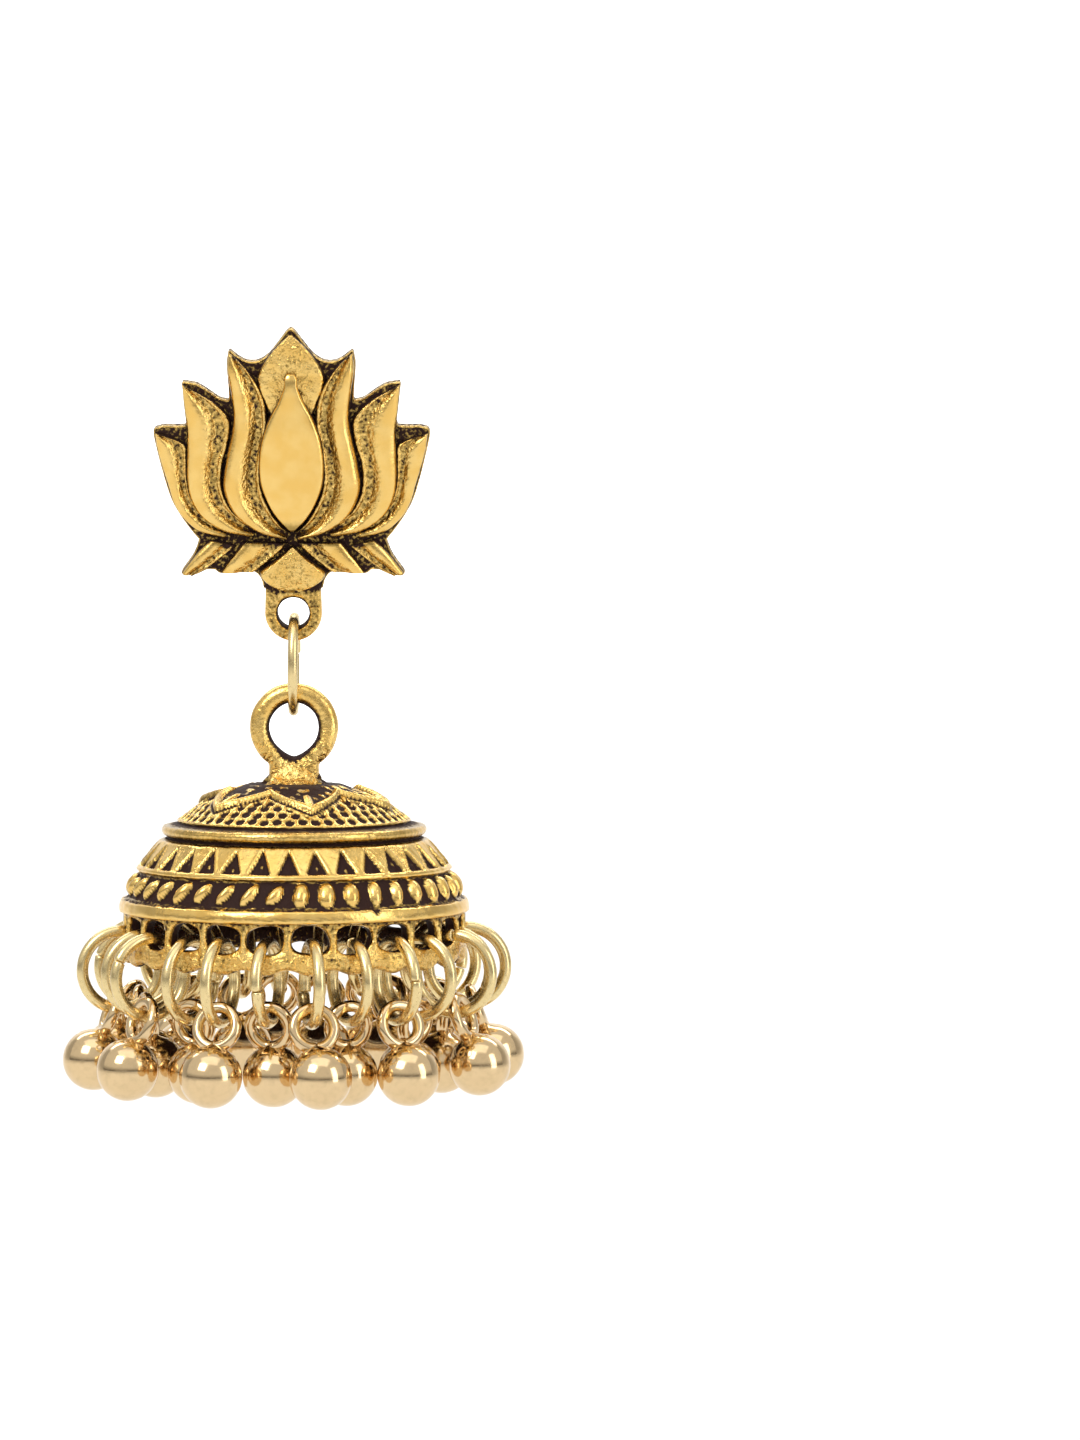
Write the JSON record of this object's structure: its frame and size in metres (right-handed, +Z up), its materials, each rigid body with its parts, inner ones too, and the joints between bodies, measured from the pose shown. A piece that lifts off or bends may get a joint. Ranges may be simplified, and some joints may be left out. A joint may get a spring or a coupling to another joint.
{
  "type": "jhumka drop earring",
  "caption": "Hanging earring: a cast lotus on an ear post carries an oval link, a hollow pierced dome and a fringe of ball drops on jump rings.",
  "frame": {"origin": "root of the ear post, at the middle of the lotus's back, where the earring sits on the lobe", "axes": "+Z up as it hangs, the lotus faces -Y, +Y into the lobe and on behind it, +X to the viewer's right"},
  "size_m": [0.0327, 0.0324, 0.0548],
  "materials": {
    "antique_gold": "cast gold-coloured metal with dark patina in its hollows",
    "ring_brass": "bright drawn brass wire",
    "ball_gold": "polished champagne gold",
    "post_plastic": "clear moulded plastic"
  },
  "bodies": {
    "stud": {"lotus_stud": "antique_gold"},
    "clutch": {"post_clutch": "post_plastic"},
    "link": {"link_ring": "ring_brass"},
    "jhumka": {"jhumka_dome": "antique_gold", "rim_ring_01": "ring_brass", "rim_ring_02": "ring_brass", "rim_ring_03": "ring_brass", "rim_ring_04": "ring_brass", "rim_ring_05": "ring_brass", "rim_ring_06": "ring_brass", "rim_ring_07": "ring_brass", "rim_ring_08": "ring_brass", "rim_ring_09": "ring_brass", "rim_ring_10": "ring_brass", "rim_ring_11": "ring_brass", "rim_ring_12": "ring_brass", "rim_ring_13": "ring_brass", "rim_ring_14": "ring_brass", "rim_ring_15": "ring_brass", "rim_ring_16": "ring_brass", "rim_ring_17": "ring_brass", "rim_ring_18": "ring_brass", "rim_ring_19": "ring_brass", "rim_ring_20": "ring_brass", "rim_ring_21": "ring_brass", "rim_ring_22": "ring_brass", "rim_ring_23": "ring_brass", "rim_ring_24": "ring_brass", "ball_drop_01": "ball_gold", "ball_drop_02": "ball_gold", "ball_drop_03": "ball_gold", "ball_drop_04": "ball_gold", "ball_drop_05": "ball_gold", "ball_drop_06": "ball_gold", "ball_drop_07": "ball_gold", "ball_drop_08": "ball_gold", "ball_drop_09": "ball_gold", "ball_drop_10": "ball_gold", "ball_drop_11": "ball_gold", "ball_drop_12": "ball_gold", "ball_drop_13": "ball_gold", "ball_drop_14": "ball_gold", "ball_drop_15": "ball_gold", "ball_drop_16": "ball_gold", "ball_drop_17": "ball_gold", "ball_drop_18": "ball_gold", "ball_drop_19": "ball_gold", "ball_drop_20": "ball_gold", "ball_drop_21": "ball_gold", "ball_drop_22": "ball_gold", "ball_drop_23": "ball_gold", "ball_drop_24": "ball_gold"}
  },
  "joints": [
    {"name": "clutch_slide", "type": "slide", "parent": "stud", "child": "clutch", "axis": [0, 0.9781, 0.2079], "range_m": [-0.0045, 0.006]},
    {"name": "link_swing", "type": "hinge", "parent": "stud", "child": "link", "pos_m": [0, 0.00194, -0.01232], "axis": [0, 1, 0], "range_deg": [-45, 45]},
    {"name": "dome_swing", "type": "hinge", "parent": "link", "child": "jhumka", "pos_m": [0, 0.00194, -0.0177], "axis": [1, 0, 0], "range_deg": [-40, 40]}
  ]
}
